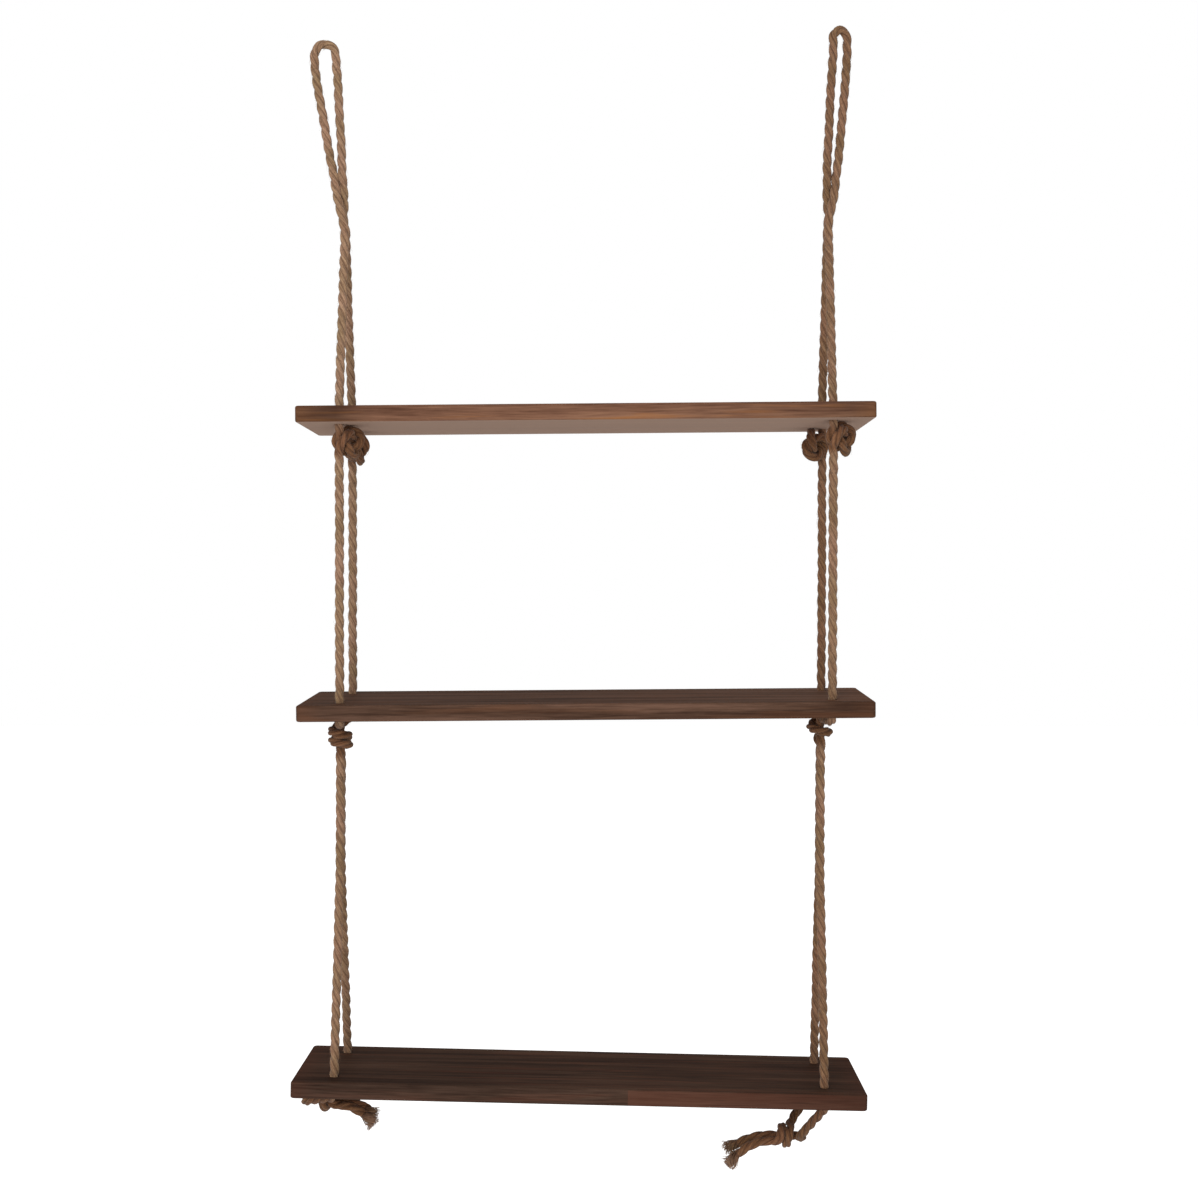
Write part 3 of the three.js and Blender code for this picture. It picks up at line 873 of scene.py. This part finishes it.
# %% Crowns
for side, (points, step, spots) in ropes.items():
    first = int(round((spots["back", "crown"] - PAST_BEND) / step))
    last = int(round((spots["front", "crown"] + PAST_BEND) / step))
    frames = carried_frames(points)
    ties = tied_along(side, len(points), step, spots)
    draw = random.Random(f"{side} crown")
    piece = laid_piece(f"{side}_loop_crown_rope", first, last, step, draw, points, frames, ties)
    hang_on(piece, "hanging_crowns", "loop_limbs")
    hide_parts(f"{side}_loop_crown")
print(f"{len(rope_pieces)} pieces, {sum(len(piece.data.polygons) for piece in rope_pieces)} faces")

# %% [markdown]
# ## Boards
#
# Each board is a plank with four rope holes. It could be left with the crisp edges of the CAD solid, but the
# real ones have been handled: their upright corners are rounded and every arris is eased with sandpaper. So
# a bevel rounds the four corners of a cube and then its rims, and a Boolean drills the holes as a bit would.

# %% Boards
BOARD_LENGTH = 600
BOARD_DEPTH = 150
HOLE = 10
CORNER_ROUND = 5
CORNER_STEPS = 5
ARRIS_ROUND = 2
ARRIS_STEPS = 4
BIT_SIDES = 32


def mesh_object(build, name):
    in_order(build)
    mesh = bpy.data.meshes.new(name)
    build.to_mesh(mesh)
    build.free()
    return bpy.data.objects.new(name, mesh)


def drilled(board, bits):
    """The board's mesh with its holes cut by the bits."""
    for thing in (board, bits):
        bpy.context.collection.objects.link(thing)
    cut = board.modifiers.new("holes", "BOOLEAN")
    cut.object = bits
    mesh = bpy.data.meshes.new_from_object(board.evaluated_get(bpy.context.evaluated_depsgraph_get()))
    for thing in (board, bits):
        bpy.data.objects.remove(thing)
    return mesh


def blank():
    """A plank without holes: its corners are rounded first, and then its rims all round."""
    build = bmesh.new()
    bmesh.ops.create_cube(build, size=1)
    bmesh.ops.scale(build, verts=build.verts, vec=(BOARD_LENGTH, BOARD_DEPTH, BOARD_THICKNESS))
    for crossing, offset, segments in ((True, CORNER_ROUND, CORNER_STEPS), (False, ARRIS_ROUND, ARRIS_STEPS)):
        edges = [edge for edge in build.edges if (edge.verts[0].co.z * edge.verts[1].co.z < 0) == crossing]
        bmesh.ops.bevel(
            build,
            geom=edges,
            offset=offset,
            segments=segments,
            profile=0.5,
            affect="EDGES",
            material=-1,
        )
    for face in build.faces:
        face.smooth = face.calc_area() < BOARD_THICKNESS * CORNER_ROUND
    return build


def drill_bits():
    bits = bmesh.new()
    for x in (-HOLE_X, HOLE_X):
        for y in (-HOLE_Y, HOLE_Y):
            bit = {"radius1": HOLE / 2, "radius2": HOLE / 2, "depth": 2 * BOARD_THICKNESS}
            at = Matrix.Translation((x, y, 0))
            bmesh.ops.create_cone(bits, cap_ends=True, segments=BIT_SIDES, matrix=at, **bit)
    return bits


# %% Make the boards
planks = {}
for board in HANG:
    mesh = drilled(mesh_object(blank(), f"{board}_blank"), mesh_object(drill_bits(), "drill_bits"))
    mesh.transform(Matrix.Scale(MM, 4) @ hanging(board) @ Matrix.Translation((0, 0, -BOARD_THICKNESS / 2)))
    mesh.name = f"{board}_plank"
    planks[board] = bpy.data.objects.new(f"{board}_plank", mesh)
    bpy.context.collection.objects.link(planks[board])
    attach(planks[board], f"{board}_shelf")
    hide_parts(f"{board}_board")
    print(board, "board:", len(mesh.polygons), "faces")

# %% [markdown]
# ## Finishes
#
# Colours are written as on a paint card, in hex, and one function turns them into the linear light that
# Blender mixes. One small function adds a node with its settings and feeds it, as the shader is fed too.

# %% Colours and nodes
def srgb(text):
    """A hex colour as Blender's linear RGBA."""
    channels = [int(text[i:i + 2], 16) / 255 for i in (1, 3, 5)]
    return [c / 12.92 if c <= 0.04045 else ((c + 0.055) / 1.055) ** 2.4 for c in channels] + [1]


def feed(tree, fed, **inputs):
    """Gives a node sockets or values, by the input's name, or by its number as i0, i1 and so on."""
    for key, value in inputs.items():
        socket = fed.inputs[int(key[1:]) if key[1:].isdigit() else key.replace("_", " ")]
        if isinstance(value, bpy.types.NodeSocket):
            tree.links.new(value, socket)
        else:
            socket.default_value = value


def node(tree, kind, settings=None, **inputs):
    """Adds a shader node with its settings and its inputs."""
    added = tree.nodes.new("ShaderNode" + kind)
    for key, value in (settings or {}).items():
        setattr(added, key, value)
    feed(tree, added, **inputs)
    return added


def new_material(name):
    material = bpy.data.materials.new(name)
    material.use_nodes = True
    return material, material.node_tree, material.node_tree.nodes["Principled BSDF"]


def set_ramp(ramp, stops):
    """Gives a colour ramp its stops, as a share and a hex colour each."""
    elements = ramp.color_ramp.elements
    while len(elements) < len(stops):
        elements.new(0.5)
    for element, (share, colour) in zip(elements, stops):
        element.position = share
        element.color = srgb(colour)


mix_values = {"data_type": "FLOAT"}
mix_colours = {"data_type": "RGBA"}
multiply = {"data_type": "RGBA", "blend_type": "MULTIPLY"}

# %% [markdown]
# ### Jute
#
# Jute yarn is dull and dry: rough fibres with hardly any shine. Painted shade darkens the grooves between
# the strands, so their tops stand out paler. Its streaks follow the strands round the rope, so they are read
# from the place on the laid strand, and finer fibres from the place on the straight rope. A streak is about
# 1.3 mm wide and ten times as long. The rope is redder in one place and greener in the next, and painted
# shade darkens it in the knots and ties under the boards.

# %% Jute
STREAK_WIDTH = 1.3 * MM
STREAK_STRETCH = 0.1
FIBRE_WIDTH = 0.6 * MM
FIBRE_STRETCH = 0.14
BLOTCH_LENGTH = 45 * MM
jute, tree, shader = new_material("laid_jute_rope")
straight = node(tree, "Attribute", {"attribute_name": "straight"}).outputs["Vector"]
strand = node(tree, "Attribute", {"attribute_name": "strand"}).outputs["Vector"]
drawn_strand = node(tree, "Mapping", Vector=strand, Scale=(1, 1, STREAK_STRETCH)).outputs[0]
drawn_fibre = node(tree, "Mapping", Vector=straight, Scale=(1, 1, FIBRE_STRETCH)).outputs[0]
streaks = node(tree, "TexNoise", Vector=drawn_strand, Scale=1 / STREAK_WIDTH, Detail=2, Roughness=0.6)
fibres = node(tree, "TexNoise", Vector=drawn_fibre, Scale=1 / FIBRE_WIDTH, Detail=2).outputs[0]
blotches = node(tree, "TexNoise", Vector=straight, Scale=1 / BLOTCH_LENGTH, Detail=2).outputs[0]
both = node(tree, "Mix", mix_values, i0=0.4, i2=streaks.outputs[0], i3=fibres).outputs[0]
yarn = node(tree, "ValToRGB", Fac=both)
set_ramp(yarn, [(0.34, "#7b604a"), (0.48, "#a28671"), (0.66, "#c9b096")])
dusty = node(tree, "MapRange", Value=blotches, From_Min=0.38, From_Max=0.62).outputs[0]
cast = node(tree, "Mix", mix_colours, i0=dusty, i6=srgb("#fff0e8"), i7=srgb("#e6dfc8"))
toned = node(tree, "Mix", multiply, i0=1, i6=yarn.outputs[0], i7=cast.outputs[2]).outputs[2]

# %% Painted shade in the grooves and under the boards
GROOVE_BOTTOM = 2.9 * MM
GROOVE_TOP = 3.95 * MM
outwards = node(tree, "Mapping", Vector=straight, Scale=(1, 1, 0)).outputs[0]
radius = node(tree, "VectorMath", {"operation": "LENGTH"}, i0=outwards).outputs["Value"]
groove = node(tree, "MapRange", Value=radius, From_Min=GROOVE_BOTTOM, From_Max=GROOVE_TOP).outputs[0]
# painted shade: the grooves between the strands turn to #715642
groove_shaded = node(tree, "Mix", mix_colours, i0=groove, i6=srgb("#715642"), i7=toned).outputs[2]
shade_share = node(tree, "Attribute", {"attribute_name": "shade_share"}).outputs["Fac"]
# painted shade: the rope is multiplied towards #bba48f by its share of shade
painted_shading = node(tree, "Mix", multiply, i0=shade_share, i6=groove_shaded, i7=srgb("#bba48f")).outputs[2]
bump = node(tree, "Bump", Strength=0.5, Distance=FIBRE_WIDTH / 2, Height=both).outputs[0]
feed(tree, shader, Base_Color=painted_shading, Normal=bump, Roughness=0.9)
feed(tree, shader, Specular_IOR_Level=0.25, Sheen_Weight=0.15, Sheen_Roughness=0.5)
for piece in rope_pieces:
    piece.data.materials.append(jute)
print(f"jute: {len(tree.nodes)} nodes, on {len(rope_pieces)} pieces")

# %% [markdown]
# ### Stained boards
#
# The boards are softwood planks with a brown stain wiped on and a thin satin finish over it. The stain
# sinks into the soft early wood and stays thin on the hard late wood, so the grain shows as long streaks,
# and where hands rub the ends it wears to a warmer brown. The finish shines so little that the eye sees the
# stain's own colour. Each board took the stain differently, and how deep it went also changes along each
# board. Painted shade darkens the tops of the lower boards, and a pale painted reflection lightens the
# undersides.

# %% Tones of the stain
STAINS = {
    # board: grain from dark to light, warm streaks and how strong they are, underside tone with painted
    # reflection, what the top keeps under painted shade
    "top": (("#5a3c2e", "#7c5845", "#946d55"), "#a06a3f", 0.75, "#b79b8a", "#ffffff"),
    "middle": (("#412d23", "#5b4336", "#735647"), "#744b33", 0.4, "#7c6252", "#fcfaf8"),
    "bottom": (("#35251e", "#4d3a30", "#634c40"), "#704637", 0.35, "#654f42", "#e8dfd6"),
}
DEPTHS = {
    # board: how much of its colour shows, at shares of its length from the left
    "top": [(0.02, 0.56), (0.07, 0.45), (0.14, 0.97), (0.6, 1), (0.85, 0.86), (0.98, 0.62)],
    "middle": [(0, 0.76), (0.25, 0.86), (0.5, 0.97), (1, 1)],
    "bottom": [(0, 0.8), (0.3, 0.78), (0.55, 0.97), (0.75, 0.95), (1, 0.68)],
}


def grey(share):
    """The hex grey that multiplies a colour down to a share of its light."""
    return "#" + 3 * f"{round(255 * share ** (1 / 2.2)):02x}"


# %% [markdown]
# Object coordinates are turned into the board's own, so that the grain runs along each board however it
# hangs. Noise stretched along the board then gives the fine grain, the broad figure of the plank, the warm
# streaks and the pores, each at its own width. Each board reads the noise in another place, by how low it
# hangs, so that no two boards are cut alike.

# %% Grain
GRAIN_WIDTH = 2.2 * MM
FIGURE_WIDTH = 14 * MM
WARM_WIDTH = 9 * MM
GRAIN_STRETCH = 0.045
GRAIN_RELIEF = 0.3 * MM
PORE_WIDTH = 0.9 * MM
PORE_STRETCH = 0.02


def board_place(tree, place, board):
    """A place on the shelf as a place on the level board."""
    pitch, roll = tilt(board)
    turned = {"Location": board_origin(board) * MM, "Rotation": (pitch, roll, 0)}
    return node(tree, "Mapping", {"vector_type": "TEXTURE"}, Vector=place, **turned).outputs[0]


def grain_patterns(tree, local, board):
    """The grain, figure, warm streaks and pores of a board."""
    low = HANG[board]["drop"]
    drawn = node(tree, "Mapping", Vector=local, Scale=(GRAIN_STRETCH, 1, 1), Location=(low, 0, 0)).outputs[0]
    longer = node(tree, "Mapping", Vector=local, Scale=(PORE_STRETCH, 1, 1), Location=(0, low, 0)).outputs[0]
    grain = node(tree, "TexNoise", Vector=drawn, Scale=1 / GRAIN_WIDTH, Detail=4, Roughness=0.65)
    figure = node(tree, "TexNoise", Vector=drawn, Scale=1 / FIGURE_WIDTH, Detail=3, Distortion=0.5)
    warm = node(tree, "TexNoise", Vector=drawn, Scale=1 / WARM_WIDTH, Detail=2, Distortion=0.8)
    pores = node(tree, "TexNoise", Vector=longer, Scale=1 / PORE_WIDTH, Detail=2)
    return [pattern.outputs[0] for pattern in (grain, figure, warm, pores)]


print(f"a grain streak is {GRAIN_WIDTH / MM:.1f} mm wide and {GRAIN_WIDTH / GRAIN_STRETCH / MM:.0f} mm long")

# %% [markdown]
# The stain is warmer in three places: in streaks where it lies thin, at the ends where hands rub it, and on
# the front edge of the bottom board past a seam, where a redder piece of wood was joined on.

# %% Warm places
RUBBED_FROM = 272 * MM
BOARD_END = BOARD_LENGTH / 2 * MM
BOTTOM_SEAM = 51 * MM


def warmth(tree, board, x, forwards, figure, warm, strength):
    """How far the stain turns to its warm tone, at a place along the board."""
    streaks = node(tree, "MapRange", Value=warm, From_Min=0.5, From_Max=0.68, To_Max=strength)
    from_middle = node(tree, "Math", {"operation": "ABSOLUTE"}, i0=x).outputs[0]
    near_end = node(tree, "MapRange", Value=from_middle, From_Min=RUBBED_FROM, From_Max=BOARD_END, To_Max=0.7)
    rubbed = node(tree, "Math", {"operation": "MULTIPLY"}, i0=near_end.outputs[0], i1=figure)
    either = {"operation": "MAXIMUM"}
    warmer = node(tree, "Math", either, i0=streaks.outputs[0], i1=rubbed.outputs[0]).outputs[0]
    if board != "bottom":
        return warmer
    past_seam = node(tree, "Math", {"operation": "GREATER_THAN"}, i0=x, i1=BOTTOM_SEAM).outputs[0]
    front = node(tree, "MapRange", Value=forwards, From_Min=-0.5, From_Max=-0.9, To_Max=0.45)
    redder = node(tree, "Math", {"operation": "MULTIPLY"}, i0=past_seam, i1=front.outputs[0])
    return node(tree, "Math", either, i0=warmer, i1=redder.outputs[0]).outputs[0]


# %% [markdown]
# Last comes what depends on the side of the board: painted shade darkens the tops of the lower two boards
# below their edges, a pale painted reflection lightens the undersides, and the sawn ends show the rings of
# the tree. A side counts from where its rounded edge is nearly past.

# %% Sides of a board
ROUND, FLAT = 0.8, 0.97
RING_SPACING = 5.236 * MM
WAVE_PERIOD = math.tau / 20  # of Blender's wave pattern at a scale of 1


def sided(tree, colour, local, facing, board):
    """The colour with painted shade on the top, a painted reflection on the underside, and ring tones on the
    ends.
    """
    grain_tones, _, _, underside_reflection, top_shade_tone = STAINS[board]
    lying = node(tree, "MapRange", Value=facing[2], From_Min=ROUND, From_Max=FLAT).outputs[0]
    # painted shade: the top is multiplied by its shade tone
    top_shaded = node(tree, "Mix", multiply, i0=lying, i6=colour, i7=srgb(top_shade_tone)).outputs[2]
    under = node(tree, "MapRange", Value=facing[2], From_Min=-ROUND, From_Max=-FLAT, To_Max=0.85).outputs[0]
    # painted reflection: the underside turns towards a pale tone, as the white room would shine in it
    underside_reflected = node(tree, "Mix", mix_colours, i0=under, i6=top_shaded, i7=srgb(underside_reflection)).outputs[2]
    endways = node(tree, "Math", {"operation": "ABSOLUTE"}, i0=facing[0]).outputs[0]
    ends = node(tree, "MapRange", Value=endways, From_Min=ROUND, From_Max=FLAT, To_Max=0.6).outputs[0]
    size = WAVE_PERIOD / RING_SPACING
    rings = node(tree, "TexWave", {"wave_type": "RINGS"}, Vector=local, Scale=size, Distortion=4, Detail=2)
    ring_tone = node(tree, "ValToRGB", Fac=rings.outputs[0])
    set_ramp(ring_tone, [(0.2, grain_tones[0]), (0.8, grain_tones[1])])
    return node(tree, "Mix", mix_colours, i0=ends, i6=underside_reflected, i7=ring_tone.outputs[0]).outputs[2]


# %% Stain the boards
for board, (grain_tones, warm_tone, warm_strength, _, _) in STAINS.items():
    stain, tree, shader = new_material(f"satin_stained_softwood_{board}")
    where = node(tree, "TexCoord").outputs
    facing = node(tree, "SeparateXYZ", Vector=where["Normal"]).outputs
    local = board_place(tree, where["Object"], board)
    x = node(tree, "SeparateXYZ", Vector=local).outputs[0]
    grain, figure, warm, pores = grain_patterns(tree, local, board)
    mixed = node(tree, "Mix", mix_values, i0=0.55, i2=grain, i3=figure).outputs[0]
    tone = node(tree, "ValToRGB", Fac=mixed)
    set_ramp(tone, list(zip((0.38, 0.5, 0.63), grain_tones)))
    warmer = warmth(tree, board, x, facing[1], figure, warm, warm_strength)
    warmed = node(tree, "Mix", mix_colours, i0=warmer, i6=tone.outputs[0], i7=srgb(warm_tone))
    pore = node(tree, "MapRange", Value=pores, From_Min=0.56, From_Max=0.7, To_Max=0.45).outputs[0]
    dark = srgb(grain_tones[0])
    pored = node(tree, "Mix", mix_colours, i0=pore, i6=warmed.outputs[2], i7=dark).outputs[2]
    along = node(tree, "MapRange", Value=x, From_Min=-BOARD_END, From_Max=BOARD_END).outputs[0]
    depth = node(tree, "ValToRGB", Fac=along)
    set_ramp(depth, [(share, grey(shown)) for share, shown in DEPTHS[board]])
    uneven = node(tree, "Mix", multiply, i0=1, i6=pored, i7=depth.outputs[0]).outputs[2]
    base = sided(tree, uneven, local, facing, board)
    satin = node(tree, "MapRange", Value=grain, From_Min=0.3, From_Max=0.7, To_Min=0.62, To_Max=0.8)
    bump = node(tree, "Bump", Strength=0.4, Distance=GRAIN_RELIEF, Height=mixed).outputs[0]
    feed(tree, shader, Base_Color=base, Roughness=satin.outputs[0], Normal=bump, Specular_IOR_Level=0.02)
    planks[board].data.materials.append(stain)
    print(f"{board} board stained with {len(tree.nodes)} nodes")

# %% [markdown]
# ## Studio
#
# A white sweep of paper: the floor is lit and takes the shelf's shadow, and a little of its own light for
# camera rays alone lifts it to white. A large soft light stands in front above the camera, and a weaker one
# low down lifts the undersides. These sizes are in metres.

# %% Floor
FLOOR_HEIGHT = -1.45
FLOOR_SIZE = 8
PAPER_GLOW = 0.65
floor_build = bmesh.new()
bmesh.ops.create_grid(floor_build, size=FLOOR_SIZE)
bmesh.ops.translate(floor_build, vec=(0, 0, FLOOR_HEIGHT), verts=floor_build.verts)
floor = mesh_object(floor_build, "floor")
bpy.context.collection.objects.link(floor)
paper, tree, shader = new_material("white_paper")
seen = node(tree, "LightPath").outputs["Is Camera Ray"]
own_light = node(tree, "Math", {"operation": "MULTIPLY"}, i0=seen, i1=PAPER_GLOW).outputs[0]
feed(tree, shader, Base_Color=srgb("#f2f2f2"), Roughness=1)
feed(tree, shader, Emission_Color=srgb("#ffffff"), Emission_Strength=own_light)
floor.data.materials.append(paper)
# %% Light
WORLD_LIGHT = 0.6
SEEN_WHITE = 1.0
SOFTBOXES = {
    # name: place, what it points at, width, watts
    "front_softbox": ((-0.7, -2.3, 0.2), (0, 0, -0.6), 1.4, 26),
    "low_softbox": ((0.7, -1.7, -1.25), (0, 0, -0.5), 0.9, 4),
}
world = bpy.data.worlds.new("studio")
bpy.context.scene.world = world
world.use_nodes = True
tree = world.node_tree
seen = node(tree, "LightPath").outputs["Is Camera Ray"]
strength = node(tree, "Mix", mix_values, i0=seen, i2=WORLD_LIGHT, i3=SEEN_WHITE).outputs[0]
feed(tree, tree.nodes["Background"], Color=srgb("#ffffff"), Strength=strength)
for name, (location, target, size, power) in SOFTBOXES.items():
    light = bpy.data.lights.new(name, "AREA")
    light.size = size
    light.energy = power
    lamp = bpy.data.objects.new(name, light)
    lamp.location = location
    lamp.rotation_euler = (Vector(target) - Vector(location)).to_track_quat("-Z", "Y").to_euler()
    bpy.context.collection.objects.link(lamp)
bpy.context.scene.view_settings.view_transform = "Standard"
print("soft lights:", ", ".join(SOFTBOXES))
